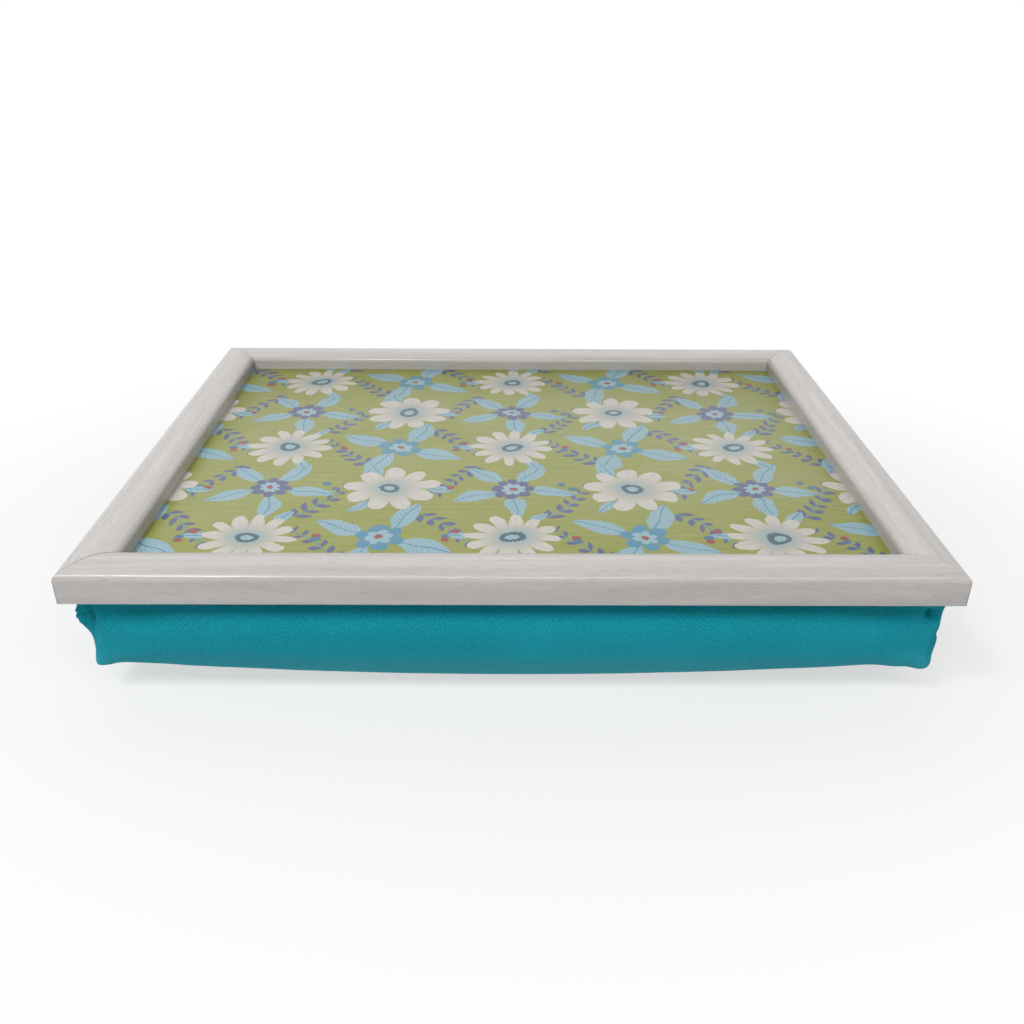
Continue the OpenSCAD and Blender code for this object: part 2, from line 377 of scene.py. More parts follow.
def limed_wood(name, quarters, board, left_glue, right_glue):
    """Limewashed wood with its grain along one rail."""
    length = tray_deep if quarters % 2 else tray_wide
    reach = tray_wide / 2 if quarters % 2 else tray_deep / 2
    material, tree, shader = start_material(name)
    marks = use_group(
        tree,
        grain,
        Place=object_place(tree, (0, 0, -quarters * pi / 2), (0, reach, -frame_foot)),
        Board=board,
        Half_Length=length / 2,
        Left_Glue=left_glue,
        Right_Glue=right_glue,
    )
    colour = paint_over(tree, marks["Bands"], lime_pale, lime_grey, grey_share)
    colour = paint_over(tree, marks["Streaks"], colour, lime_pink, pink_share)
    colour = paint_over(tree, marks["Pores"], colour, pore_brown, pore_share)
    colour = paint_over(tree, marks["Joint"], colour, glue_brown)
    tree.links.new(colour, shader.inputs["Base Color"])
    rough = reckon(tree, "MULTIPLY_ADD", marks["Streaks"], streak_rough, lacquer_rough)
    tree.links.new(rough, shader.inputs["Roughness"])
    shader.inputs["Specular IOR Level"].default_value = 0.34
    shader.inputs["Coat Weight"].default_value = 0.15
    shader.inputs["Coat Roughness"].default_value = 0.20
    sunk = times(tree, marks["Streaks"], -0.5)
    sunk = reckon(tree, "MULTIPLY_ADD", marks["Pores"], -0.6, sunk)
    raise_bump(tree, shader, sunk, 0.35, grain_deep)
    return material


for rail, node, quarters, board, left_glue, right_glue in (
    (rail_front, "rail_front", 0, 0.0, 0.85, 0.15),
    (rail_right, "rail_right", 1, 1.7, 0.15, 0.20),
    (rail_back, "rail_back", 2, 3.1, 0.20, 0.25),
    (rail_left, "rail_left", 3, 4.6, 0.25, 0.85),
):
    rail.data.materials.clear()
    finish = limed_wood("limed " + node, quarters, board, left_glue, right_glue)
    rail.data.materials.append(finish)
    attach(rail, "root")
    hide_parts(node)

# Corner nails: V-shaped strips of thin galvanised steel, two to each mitre, driven up across
# the glued joint from below. The same zinc-bright steel serves for the panel points and staples.
spangle_scale = 900
scratch_scale = (300, 2500, 2500)
scratch_deep = 0.00003
zinc_dull = shade(132, 134, 138)
zinc_bright = shade(160, 162, 165)

spangle, given, result = open_group("zinc spangle", ("Place",), ("Cloud", "Scratch"))
cells = spangle.nodes.new("ShaderNodeTexVoronoi")
cells.inputs["Scale"].default_value = spangle_scale
spangle.links.new(given["Place"], cells.inputs["Vector"])
grey = spangle.nodes.new("ShaderNodeSeparateColor")
spangle.links.new(cells.outputs["Color"], grey.inputs[0])
spangle.links.new(grey.outputs[0], result["Cloud"])
painted_bounce = noise(spangle, given["Place"], scratch_scale, 2.0)[0]
spangle.links.new(painted_bounce, result["Scratch"])

steel, tree, shader = start_material("galvanised steel")
marks = use_group(tree, spangle, Place=object_place(tree))
colour = paint_over(tree, marks["Cloud"], zinc_dull, zinc_bright)
tree.links.new(colour, shader.inputs["Base Color"])
shader.inputs["Metallic"].default_value = 1.0
tree.links.new(ease(tree, marks["Scratch"], 0.3, 0.7, 0.28, 0.48), shader.inputs["Roughness"])
raise_bump(tree, shader, marks["Scratch"], 0.2, scratch_deep)


def dress_node(name, material):
    """Give a carried-over piece its finish."""
    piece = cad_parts[name]
    piece.data.materials.clear()
    piece.data.materials.append(material)


for corner in ("front_right", "back_right", "back_left", "front_left"):
    dress_node("corner_nails_" + corner, steel)

# Panel board: 3 mm hardboard that carries the print and gives the tray its stiff floor. Its
# brown fibres show only from below, with the cushion off.
fibre_scale = (700, 700, 700)
mottle_scale = 60.0
fibre_deep = 0.0001
fibre_dark = shade(150, 112, 76)
fibre_light = shade(186, 150, 108)
mottle_brown = shade(140, 104, 70)

hardboard, tree, shader = start_material("brown hardboard")
place = object_place(tree)
fibres = noise(tree, place, fibre_scale, 4.0, 0.65)[0]
mottle = noise(tree, place, mottle_scale, 2.0)[0]
colour = paint_over(tree, fibres, fibre_dark, fibre_light)
colour = paint_over(tree, ease(tree, mottle, 0.4, 0.7, 0.0, 0.5), colour, mottle_brown)
tree.links.new(colour, shader.inputs["Base Color"])
tree.links.new(ease(tree, fibres, 0.2, 0.8, 0.62, 0.82), shader.inputs["Roughness"])
raise_bump(tree, shader, fibres, 0.4, fibre_deep)
dress_node("panel_board", hardboard)

# Printed panel: a sheet printed with a repeating flower pattern, under a clear wipe-clean film.
# The two are bonded to one thin skin on the board, sunk about 11 mm below the crown of the rails.
panel_wide = 0.400
panel_deep = 0.300
panel_top = 0.0676
skin_thick = 0.0006
skin_edge = 0.0001

bpy.ops.object.select_all(action="DESELECT")
bpy.ops.mesh.primitive_plane_add(size=1, location=(0, 0, panel_top - skin_thick))
panel = bpy.context.object
panel.name = "printed_panel"
panel.data.name = "printed_panel"
panel.scale = (panel_wide, panel_deep, 1)
bpy.ops.object.transform_apply(location=True, rotation=True, scale=True)
bpy.ops.object.mode_set(mode="EDIT")
bpy.ops.mesh.select_all(action="SELECT")
bpy.ops.mesh.extrude_region_move(TRANSFORM_OT_translate={"value": (0, 0, skin_thick)})
bpy.ops.mesh.select_all(action="SELECT")
bpy.ops.mesh.normals_make_consistent(inside=False)
bpy.ops.mesh.bevel(offset=skin_edge, segments=2, affect="EDGES")
bpy.ops.object.mode_set(mode="OBJECT")
bpy.ops.object.shade_smooth_by_angle(angle=soft_edge)

# A ring of petals about the place it is given. All the print's measures are in millimetres.
petal_blunt = 0.55
ink_edge = 0.2
ribs_per_petal = 3.0

petal_ring, given, result = open_group(
    "petal ring",
    ("Place", "Petals", "Reach", "Waist", "Turn"),
    ("Shape", "Outward", "Rib"),
)
aside, ahead = split_up(petal_ring, given["Place"])[:2]
away = shift(petal_ring, "LENGTH", given["Place"])
angle = reckon(petal_ring, "ARCTAN2", ahead, aside)
angle = reckon(petal_ring, "ADD", angle, given["Turn"])
lobes = times(petal_ring, given["Petals"], 0.5)
wave = reckon(petal_ring, "COSINE", times(petal_ring, angle, lobes))
lobe = reckon(petal_ring, "POWER", reckon(petal_ring, "ABSOLUTE", wave), petal_blunt)
span = reckon(petal_ring, "SUBTRACT", 1.0, given["Waist"])
edge = reckon(petal_ring, "MULTIPLY_ADD", lobe, span, given["Waist"])
edge = times(petal_ring, given["Reach"], edge)
inside = reckon(petal_ring, "SUBTRACT", edge, away)
petal_ring.links.new(ease(petal_ring, inside, -ink_edge, ink_edge), result["Shape"])
petal_ring.links.new(reckon(petal_ring, "DIVIDE", away, given["Reach"]), result["Outward"])
ribs = times(petal_ring, given["Petals"], ribs_per_petal)
rib = reckon(petal_ring, "COSINE", times(petal_ring, angle, ribs))
petal_ring.links.new(ease(petal_ring, rib, -0.6, 0.9), result["Rib"])

# Leaves that stand out from a centre at even angles, each with a midrib and slanting side ribs.
widest_early = 0.8
side_ribs_close = 1.9

leaf_ring, given, result = open_group(
    "leaf ring",
    ("Place", "Leaves", "Turn", "Start", "Length", "Width"),
    ("Shape", "Vein"),
)
aside, ahead = split_up(leaf_ring, given["Place"])[:2]
away = shift(leaf_ring, "LENGTH", given["Place"])
angle = reckon(leaf_ring, "ARCTAN2", ahead, aside)
angle = reckon(leaf_ring, "ADD", angle, given["Turn"])
half_share = reckon(leaf_ring, "DIVIDE", pi, given["Leaves"])
other_half = times(leaf_ring, half_share, -1.0)
angle = reckon(leaf_ring, "WRAP", angle, half_share, other_half)
along = times(leaf_ring, away, reckon(leaf_ring, "COSINE", angle))
across = times(leaf_ring, away, reckon(leaf_ring, "SINE", angle))
across = reckon(leaf_ring, "ABSOLUTE", across)
share = reckon(leaf_ring, "SUBTRACT", along, given["Start"])
share = reckon(leaf_ring, "DIVIDE", share, given["Length"])
held = reckon(leaf_ring, "MINIMUM", reckon(leaf_ring, "MAXIMUM", share, 0.0), 1.0)
swung = times(leaf_ring, reckon(leaf_ring, "POWER", held, widest_early), pi)
half_wide = times(leaf_ring, given["Width"], 0.5)
half_wide = times(leaf_ring, half_wide, reckon(leaf_ring, "SINE", swung))
shape = ease(leaf_ring, reckon(leaf_ring, "SUBTRACT", half_wide, across), 0.0, 0.35)
leaf_ring.links.new(shape, result["Shape"])
midrib = ease(leaf_ring, across, 0.55, 0.25)
slant = reckon(leaf_ring, "SUBTRACT", along, across)
slant = reckon(leaf_ring, "SINE", times(leaf_ring, slant, side_ribs_close))
vein = reckon(leaf_ring, "MAXIMUM", midrib, ease(leaf_ring, slant, 0.80, 0.97, 0.0, 0.7))
leaf_ring.links.new(times(leaf_ring, vein, shape), result["Vein"])

# A bowed stalk with small leaves in pairs along it, which slant forward and grow smaller.
leaf_slant = 0.7071
leaf_plump = 0.22

sprig, given, result = open_group(
    "paired sprig",
    ("Place", "Turn", "Length", "Pitch", "Curl"),
    ("Stalk", "Leaflets"),
)
spun = sprig.nodes.new("ShaderNodeVectorRotate")
spun.rotation_type = "Z_AXIS"
sprig.links.new(given["Place"], spun.inputs["Vector"])
sprig.links.new(given["Turn"], spun.inputs["Angle"])
along, across = split_up(sprig, spun.outputs[0])[:2]
share = reckon(sprig, "DIVIDE", along, given["Length"])
bow = times(sprig, times(sprig, share, share), given["Curl"])
aside = reckon(sprig, "ABSOLUTE", reckon(sprig, "SUBTRACT", across, bow))
within = times(sprig, ease(sprig, share, 0.0, 0.01), ease(sprig, share, 1.0, 0.99))
stalk = times(sprig, ease(sprig, aside, 0.65, 0.30), within)
sprig.links.new(stalk, result["Stalk"])
in_pair = reckon(sprig, "FRACT", reckon(sprig, "DIVIDE", along, given["Pitch"]))
in_pair = times(sprig, in_pair, given["Pitch"])
lengthwise = times(sprig, reckon(sprig, "ADD", in_pair, aside), leaf_slant)
crosswise = times(sprig, reckon(sprig, "SUBTRACT", aside, in_pair), leaf_slant)
crosswise = reckon(sprig, "ABSOLUTE", crosswise)
taper = reckon(sprig, "MULTIPLY_ADD", share, -0.45, 1.25)
small = times(sprig, given["Pitch"], taper)
held = reckon(sprig, "MINIMUM", reckon(sprig, "DIVIDE", lengthwise, small), 1.0)
half_wide = reckon(sprig, "SINE", times(sprig, held, pi))
half_wide = times(sprig, half_wide, times(sprig, small, leaf_plump))
leaflets = ease(sprig, reckon(sprig, "SUBTRACT", half_wide, crosswise), 0.0, 0.3)
sprig.links.new(times(sprig, leaflets, within), result["Leaflets"])

# The print's inks on a streaked ground. The whole pattern wavers a little, as if drawn by hand,
# and repeats at even steps.
repeat_x = 140.0
repeat_y = 116.0
brush_scale = (0.05, 0.35, 0)
pair_pitch = 8.2
rib_ink = 0.22
film_coat = 0.10
ground_green = shade(127, 134, 51)
ground_gold = shade(139, 141, 68)
petal_white = shade(190, 186, 177)
petal_shadow = shade(159, 161, 152)
pale_blue = shade(136, 167, 176)
mid_blue = shade(70, 127, 150)
deep_blue = shade(51, 101, 129)
slate_violet = shade(73, 79, 118)
dull_red = shade(133, 55, 53)
centre_grey = shade(53, 81, 91)
stalk_teal = shade(91, 133, 129)

print_finish, tree, shader = start_material("flower print under film")
flat = object_place(tree, scale=(1000, 1000, 0))
hand_drawn = flat
for closeness, sway in ((0.045, 9), (0.45, 1)):
    aside = shift(tree, "SUBTRACT", noise(tree, flat, closeness, 1.0)[1], (0.5, 0.5, 0.5))
    aside = shift(tree, "MULTIPLY", aside, (sway, sway, 0))
    hand_drawn = shift(tree, "ADD", hand_drawn, aside)


def stamp(motif, x, y, **values):
    """Place a motif at a point of the pattern and at all that point's repeats."""
    off = shift(tree, "SUBTRACT", hand_drawn, (x, y, 0))
    half = (repeat_x / 2, repeat_y / 2, 0)
    minus_half = (-repeat_x / 2, -repeat_y / 2, 0)
    return use_group(tree, motif, Place=shift(tree, "WRAP", off, half, minus_half), **values)


def print_rings(under, x, y, rings):
    """Flat rings of petals printed one over the other, each in its own ink."""
    for petals, reach, waist, turn, ink in rings:
        ring = stamp(petal_ring, x, y, Petals=petals, Reach=reach, Waist=waist, Turn=turn)
        under = paint_over(tree, ring["Shape"], under, ink)
    return under


brush = noise(tree, flat, brush_scale, 3.0, 0.6)[0]
colour = paint_over(tree, ease(tree, brush, 0.35, 0.7), ground_green, ground_gold)

for x, y, turn, long, curl in (
    (20, 24, -0.80, 46, 9),
    (120, 88, 2.30, 46, 8),
    (52, 92, -2.45, 44, -8),
    (90, 26, 0.70, 44, -9),
):
    twig = stamp(sprig, x, y, Turn=turn, Length=long, Pitch=pair_pitch, Curl=curl)
    colour = paint_over(tree, twig["Stalk"], colour, stalk_teal)
    colour = paint_over(tree, twig["Leaflets"], colour, slate_violet)

for x, y, leaves, turn, start, long, wide in (
    (70, 0, 4, 0.45, 10, 33, 15),
    (0, 58, 5, 0.20, 10, 29, 13),
    (0, 0, 3, 1.10, 20, 17, 8),
    (70, 58, 3, 0.10, 20, 18, 8),
):
    frond = stamp(leaf_ring, x, y, Leaves=leaves, Turn=turn, Start=start, Length=long, Width=wide)
    colour = paint_over(tree, frond["Shape"], colour, pale_blue)
    colour = paint_over(tree, frond["Vein"], colour, mid_blue)

for x, y, petals, reach, waist, turn in (
    (0, 0, 12, 26, 0.42, 0.1),
    (70, 58, 9, 28, 0.50, 0.5),
):
    daisy = stamp(petal_ring, x, y, Petals=petals, Reach=reach, Waist=waist, Turn=turn)
    towards_heart = ease(tree, daisy["Outward"], 0.75, 0.25)
    petal = paint_over(tree, towards_heart, petal_white, petal_shadow)
    petal = paint_over(tree, daisy["Rib"], petal, petal_shadow, rib_ink)
    colour = paint_over(tree, daisy["Shape"], colour, petal)
    seeds = (petals * 2, 9.6, 0.3, turn, pale_blue)
    heart = (petals * 2, 6.6, 0.8, turn, centre_grey)
    core = (7, 3.4, 0.75, turn, pale_blue)
    colour = print_rings(colour, x, y, (seeds, heart, core))

for x, y, petals, reach, waist, turn, ink in (
    (70, 0, 6, 14, 0.55, 0.3, mid_blue),
    (0, 58, 8, 13, 0.60, 0.0, slate_violet),
):
    rosette = (petals, reach, waist, turn, ink)
    heart = (petals, reach * 0.55, waist, turn + 0.4, pale_blue)
    core = (5, 2.4, 0.8, turn, dull_red)
    colour = print_rings(colour, x, y, (rosette, heart, core))

for x, y, ink in (
    (35, 0, dull_red),
    (104, 58, dull_red),
    (36, 58, deep_blue),
    (104, 0, deep_blue),
    (35, 112, deep_blue),
    (104, 112, dull_red),
    (30, 64, deep_blue),
    (110, 6, dull_red),
):
    colour = print_rings(colour, x, y, ((5, 2.5, 0.85, 0.0, ink),))

tree.links.new(colour, shader.inputs["Base Color"])
smear = noise(tree, flat, 0.02, 2.0)[0]
tree.links.new(ease(tree, smear, 0.3, 0.7, 0.34, 0.44), shader.inputs["Roughness"])
shader.inputs["Coat Weight"].default_value = film_coat
shader.inputs["Coat Roughness"].default_value = 0.22
orange_peel = noise(tree, flat, 0.7, 2.0)[0]
raise_bump(tree, shader, orange_peel, 0.05, 0.0001)
panel.data.materials.append(print_finish)
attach(panel, "root")
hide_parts("print_sheet", "clear_film")

# Panel points: flat tabs of zinc-coated steel, driven sideways into the rebate from below. They
# hold the board up in its place.
for side in ("front", "right", "back", "left"):
    dress_node("points_" + side, steel)

# Cushion cover: closely woven teal cotton, cut as one bag with a folded tuck at each corner, and
# loosely filled with beads, so that it swells between the corners and its lower corners poke out
# as small ears. Its hem is turned out and stapled under the rails.
cover_in = 0.006
wall_draws_in = 0.0008
wall_swells = 0.0015
belly_round_side = 0.022
belly_round_corner = 0.007
corner_round_hem = 0.005
corner_round_belly = 0.011
corner_lifts = 0.015
side_lifts = 0.0012
ear_reach = 0.003
ear_droops = 0.4
tuck_deep = 0.0015
slack = 0.0012
slack_comes = 3
neck_in = 0.0040
neck_ends = 5
neck_keeps_off = 8
cloth_top = 0.0592
corner_steps = 8
long_steps = 44
short_steps = 34
base_rings = 10
belly_rings = 7
wall_rings = 9
top_rings = 10


def round_the_tray():
    """Places round the cushion: which corner, whether in it, and how far along."""
    places = []
    for corner in range(4):
        places += [(corner, True, i / corner_steps) for i in range(corner_steps + 1)]
        steps = long_steps if corner % 2 else short_steps
        places += [(corner, False, i / steps) for i in range(1, steps)]
    return places


def corner_point(corner, share, half_x, half_y, radius):
    """A point on the round of one corner, seen from above."""
    angle = (corner - 1 + share) * pi / 2
    side_x = 1 if corner < 2 else -1
    side_y = 1 if corner in (1, 2) else -1
    x = side_x * (half_x - radius) + radius * cos(angle)
    y = side_y * (half_y - radius) + radius * sin(angle)
    return Vector((x, y, 0))


def plan_point(place, inset, radius):
    """A point seen from above, on the outline at that inset from the rails' outer faces."""
    corner, in_corner, share = place
    half_x = tray_wide / 2 - cover_in - inset
    half_y = tray_deep / 2 - cover_in - inset
    if in_corner:
        return corner_point(corner, share, half_x, half_y, radius)
    here = corner_point(corner, 1, half_x, half_y, radius)
    there = corner_point((corner + 1) % 4, 0, half_x, half_y, radius)
    return here.lerp(there, share)


def near_corner(place):
    """1 in a corner, 0 halfway along a side."""
    return 1 if place[1] else abs(2 * place[2] - 1)


def at_tip(place):
    """1 at the tip of a corner, 0 along the sides."""
    return sin(pi * place[2]) if place[1] else 0


def belly_measures(place):
    """How far the belly lifts off the surface, and how round it is below the wall."""
    nearness = near_corner(place)
    lift = side_lifts + corner_lifts * nearness ** 2
    radius = belly_round_side + (belly_round_corner - belly_round_side) * nearness ** 2
    return lift, radius


def wall_point(place, share):
    """A point of the wall, from the hem at 0 down to the belly at 1."""
    lift, radius = belly_measures(place)
    swell = wall_swells * (1 - near_corner(place) ** 2) * sin(pi * share)
    tuck = tuck_deep * at_tip(place) * sin(pi * sqrt(share))
    neck = neck_in * max(0, 1 - share * neck_ends) * (1 - near_corner(place) ** neck_keeps_off)
    inset = slack * min(1, share * slack_comes) + neck + wall_draws_in * share * share - swell + tuck
    low = lift + radius
    corner_radius = corner_round_hem + (corner_round_belly - corner_round_hem) * share / 2
    point = plan_point(place, inset, corner_radius - slack)
    point.z = cloth_top + (low - cloth_top) * share
    return point


def belly_point(place, angle):
    """A point of the round under the wall, which turns to the base at a right angle."""
    lift, radius = belly_measures(place)
    ear = ear_reach * at_tip(place) * sin(2 * angle)
    inset = slack + wall_draws_in + (radius - slack) * (1 - cos(angle)) - ear
    middle = (corner_round_hem + corner_round_belly) / 2
    corner_radius = middle + (corner_round_belly - corner_round_hem) / 2 * angle / (pi / 2)
    point = plan_point(place, inset, corner_radius - slack * cos(angle))
    point.z = lift + radius - (radius - slack) * sin(angle) - ear_droops * ear
    return point


def base_point(place, share):
    """A point of the base, from its middle at 0 out to the belly at 1."""
    point = belly_point(place, pi / 2) * share
    point.z = belly_measures(place)[0] * share * share + slack * share ** 4
    return point


def top_point(place, share):
    """A point of the flat top, under the board."""
    point = wall_point(place, 0) * share
    point.z = cloth_top
    return point


def sew_skin(name):
    """Close rings of points into one skin, from the middle of the base up and over."""
    places = round_the_tray()
    rings = []
    for k in range(1, base_rings + 1):
        rings.append([base_point(place, k / base_rings) for place in places])
    for k in range(1, belly_rings):
        angle = pi / 2 * (1 - k / belly_rings)
        rings.append([belly_point(place, angle) for place in places])
    for k in range(wall_rings + 1):
        rings.append([wall_point(place, 1 - k / wall_rings) for place in places])
    for k in range(1, top_rings):
        rings.append([top_point(place, 1 - k / top_rings) for place in places])
    mesh = bmesh.new()
    rows = [[mesh.verts.new(point) for point in ring] for ring in rings]
    bottom = mesh.verts.new((0, 0, 0))
    top = mesh.verts.new((0, 0, cloth_top))
    for i in range(len(places)):
        j = (i + 1) % len(places)
        for low, high in zip(rows, rows[1:]):
            mesh.faces.new((low[i], low[j], high[j], high[i]))
        mesh.faces.new((bottom, rows[0][j], rows[0][i]))
        mesh.faces.new((top, rows[-1][i], rows[-1][j]))
    data = bpy.data.meshes.new(name)
    mesh.to_mesh(data)
    mesh.free()
    skin = bpy.data.objects.new(name, data)
    bpy.context.scene.collection.objects.link(skin)
    return skin


cushion = sew_skin("cushion_cover_cotton")

# The beads press the cover outwards while its hem and the patch it stands on are held. No thread
# may move by more than most_swell, and none sinks.
remesh_step = 0.0045
most_swell = 0.0024
share_along = 0.4
held_above = 0.050
held_over = 0.007
floor_from = 0.028
floor_over = 0.020
settling_steps = 20
cloth_quality = 5
cloth_mass = 0.15
cloth_pull = 15
cloth_bend = 0.5
bead_pressure = 4


def ramp(value):
    """A value kept from 0 to 1."""
    return min(1, max(0, value))


def rest_on_floor(piece):
    """Lift whatever lies below the surface back to it."""
    for vertex in piece.data.vertices:
        vertex.co.z = max(0.0, vertex.co.z)


pick(cushion)
cushion.data.remesh_voxel_size = remesh_step
cushion.data.remesh_voxel_adaptivity = 0
bpy.ops.object.voxel_remesh()
sewn = [(vertex.co.copy(), vertex.normal.copy()) for vertex in cushion.data.vertices]
stapled = cushion.vertex_groups.new(name="stapled")
for vertex in cushion.data.vertices:
    near_frame = ramp((vertex.co.z - held_above) / held_over)
    from_edge = min(tray_wide / 2 - abs(vertex.co.x), tray_deep / 2 - abs(vertex.co.y))
    on_floor = ramp((from_edge - floor_from) / floor_over) if vertex.normal.z < 0 else 0
    stapled.add([vertex.index], max(near_frame, on_floor), "REPLACE")
cloth = cushion.modifiers.new("Cloth", "CLOTH")
cloth.settings.quality = cloth_quality
cloth.settings.mass = cloth_mass
cloth.settings.tension_stiffness = cloth_pull
cloth.settings.compression_stiffness = cloth_pull
cloth.settings.bending_stiffness = cloth_bend
cloth.settings.use_pressure = True
cloth.settings.uniform_pressure_force = bead_pressure
cloth.settings.effector_weights.gravity = 0
cloth.settings.vertex_group_mass = "stapled"
cloth.point_cache.frame_start = 1
cloth.point_cache.frame_end = settling_steps
for moment in range(1, settling_steps + 1):
    bpy.context.scene.frame_set(moment)
bpy.ops.object.modifier_apply(modifier="Cloth")
cushion.vertex_groups.clear()
for vertex, (place, outward) in zip(cushion.data.vertices, sewn):
    moved = vertex.co - place
    swell = moved.dot(outward)
    along = moved - outward * swell
    if along.length > most_swell:
        along *= most_swell / along.length
    vertex.co = place + along * share_along + outward * min(most_swell, max(0.0, swell))
rest_on_floor(cushion)

# The bead bag and the beads follow the cushion's form, so their shapes are taken from it here.
bead_bag = copy_piece(cushion, "bead_bag_calico")
bead_fill = copy_piece(cushion, "bead_fill_polystyrene")

corner_from_x = 0.185
corner_from_y = 0.135
corner_top = 0.0585


def on_corner(face):
    """Whether a face lies on one of the cushion's corners, below the hem."""
    middle = face.calc_center_median()
    aside = abs(middle.x) > corner_from_x and abs(middle.y) > corner_from_y
    return aside and middle.z < corner_top


pick(cushion)
rounder = cushion.modifiers.new("Rounder", "SUBSURF")
rounder.levels = 1
bpy.ops.object.modifier_apply(modifier="Rounder")
bpy.ops.object.mode_set(mode="EDIT")
select_faces(cushion, on_corner)
bpy.ops.mesh.subdivide(number_cuts=2, smoothness=0.5)
bpy.ops.object.mode_set(mode="OBJECT")
rest_on_floor(cushion)

# Tucks, darts and creases near the corners, in millimetres: the corner's side in X and Y, the
# distance along the wall from the corner (less than 0 on the long wall, more on the short one),
# the distance below the rail, the half width, the half height, and the depth pressed in.
creases = (
    (-1, -1, 3.5, 12.0, 6.0, 9.5, -5.4),
    (-1, -1, -2.2, 9.7, 3.0, 5.5, 5.8),
    (-1, -1, -7.5, 11.0, 2.2, 7.0, -1.4),
    (-1, -1, 2.4, 6.8, 1.5, 1.5, -1.7),
    (-1, -1, 1.9, 10.6, 1.5, 1.5, -1.7),
    (-1, -1, 1.1, 14.2, 1.5, 1.6, -1.4),
    (-1, -1, -4.2, 12.5, 1.5, 4.0, 1.6),
    (-1, -1, -1.2, 18.5, 1.1, 5.0, 1.6),
    (-1, -1, -26.0, 5.0, 18.0, 10.0, 2.4),
    (-1, -1, 1.0, 27.0, 5.0, 8.0, 0.6),
    (-1, -1, 0.5, 33.0, 8.0, 10.0, -1.2),
    (1, -1, -5.2, 8.2, 2.8, 3.2, 4.8),
    (1, -1, -1.4, 11.0, 1.7, 8.0, -1.5),
    (1, -1, 2.0, 20.0, 8.0, 26.0, -3.6),
    (1, -1, 3.0, 31.0, 7.0, 12.0, -0.6),
    (1, -1, -13.0, 41.0, 7.0, 8.0, -1.4),
    (1, -1, -26.0, 5.0, 18.0, 10.0, 2.2),
    (1, -1, -0.6, 27.0, 1.3, 12.0, 1.3),
    (1, -1, 4.0, 21.0, 3.0, 2.4, 1.2),
    (1, 1, -6.0, 6.0, 2.6, 5.0, 3.6),
    (1, 1, 3.0, 8.0, 6.0, 9.0, -2.6),
    (1, 1, 0.5, 26.0, 1.3, 15.0, 0.9),
    (1, 1, 2.0, 24.0, 8.0, 18.0, -1.6),
    (-1, 1, 6.0, 5.0, 2.6, 4.5, 3.4),
    (-1, 1, -3.0, 9.0, 6.0, 8.0, -2.4),
    (-1, 1, -0.5, 27.0, 1.3, 15.0, 0.9),
    (-1, 1, -2.0, 24.0, 8.0, 18.0, -1.6),
)
creased_within = 60
hem_spared = 0.2
lining_clears = 0.006
lining_reach = 0.022


def from_walls(point):
    """How far a point is inside the short wall and the long wall."""
    short_gap = tray_wide / 2 - cover_in - abs(point.x)
    long_gap = tray_deep / 2 - cover_in - abs(point.y)
    return short_gap, long_gap


def press_tucks(piece):
    """Press the table's tucks into a piece."""
    piece.data.update()
    pressed = []
    for vertex in piece.data.vertices:
        side_x = 1 if vertex.co.x > 0 else -1
        side_y = 1 if vertex.co.y > 0 else -1
        short_gap, long_gap = [gap * 1000 for gap in from_walls(vertex.co)]
        below = (cloth_top - vertex.co.z) * 1000
        depth = 0
        if short_gap + long_gap < creased_within and below > hem_spared:
            for crease_x, crease_y, along, drop, wide, high, deep in creases:
                if (crease_x, crease_y) == (side_x, side_y):
                    sideways = (long_gap - short_gap - along) / wide
                    upright = (below - drop) / high
                    depth += deep * exp(-sideways ** 2 - upright ** 2)
        pressed.append(vertex.co - vertex.normal * depth / 1000)
    for vertex, place in zip(piece.data.vertices, pressed):
        vertex.co = place
        vertex.co.z = min(cloth_top, max(0.0, vertex.co.z))


def lay_out_cloth(piece):
    """Give a piece a UV map in metres, for the threads to follow."""
    pick(piece)
    bpy.ops.object.mode_set(mode="EDIT")
    bpy.ops.mesh.select_all(action="SELECT")
    bpy.ops.uv.cube_project(cube_size=1.0, correct_aspect=False, scale_to_bounds=False)
    bpy.ops.object.mode_set(mode="OBJECT")


press_tucks(cushion)
for lining in (bead_bag, bead_fill):
    for vertex in lining.data.vertices:
        drawn_in = lining_clears * exp(-(sum(from_walls(vertex.co)) / lining_reach) ** 2)
        vertex.co.x -= drawn_in if vertex.co.x > 0 else -drawn_in
        vertex.co.y -= drawn_in if vertex.co.y > 0 else -drawn_in
bpy.ops.object.shade_smooth()
lay_out_cloth(cushion)

hem_wide = 0.0066
hem_tucked_under = 0.002
hem_out = 0.0020
hem_thick = 0.0007
hem_gap = 0.00005
hem_corner = 0.008
hem_edge = 0.0003

bpy.ops.object.select_all(action="DESELECT")
bpy.ops.mesh.primitive_plane_add(size=1, location=(0, 0, frame_foot - hem_gap))
hem = bpy.context.object
hem.name = "cushion_hem"
hem.scale = (tray_wide - 2 * hem_out, tray_deep - 2 * hem_out, 1)
bpy.ops.object.transform_apply(location=True, rotation=True, scale=True)
bpy.ops.object.mode_set(mode="EDIT")
bpy.ops.mesh.select_all(action="SELECT")
bpy.ops.mesh.bevel(offset=hem_corner, segments=6, affect="VERTICES")
bpy.ops.mesh.select_all(action="SELECT")
bpy.ops.mesh.inset(thickness=hem_wide + hem_tucked_under)
bpy.ops.mesh.delete(type="FACE")
bpy.ops.mesh.select_all(action="SELECT")
bpy.ops.mesh.extrude_region_move(TRANSFORM_OT_translate={"value": (0, 0, -hem_thick)})
bpy.ops.mesh.select_all(action="SELECT")
bpy.ops.mesh.normals_make_consistent(inside=False)
bpy.ops.mesh.bevel(offset=hem_edge, segments=2, affect="EDGES")
bpy.ops.object.mode_set(mode="OBJECT")
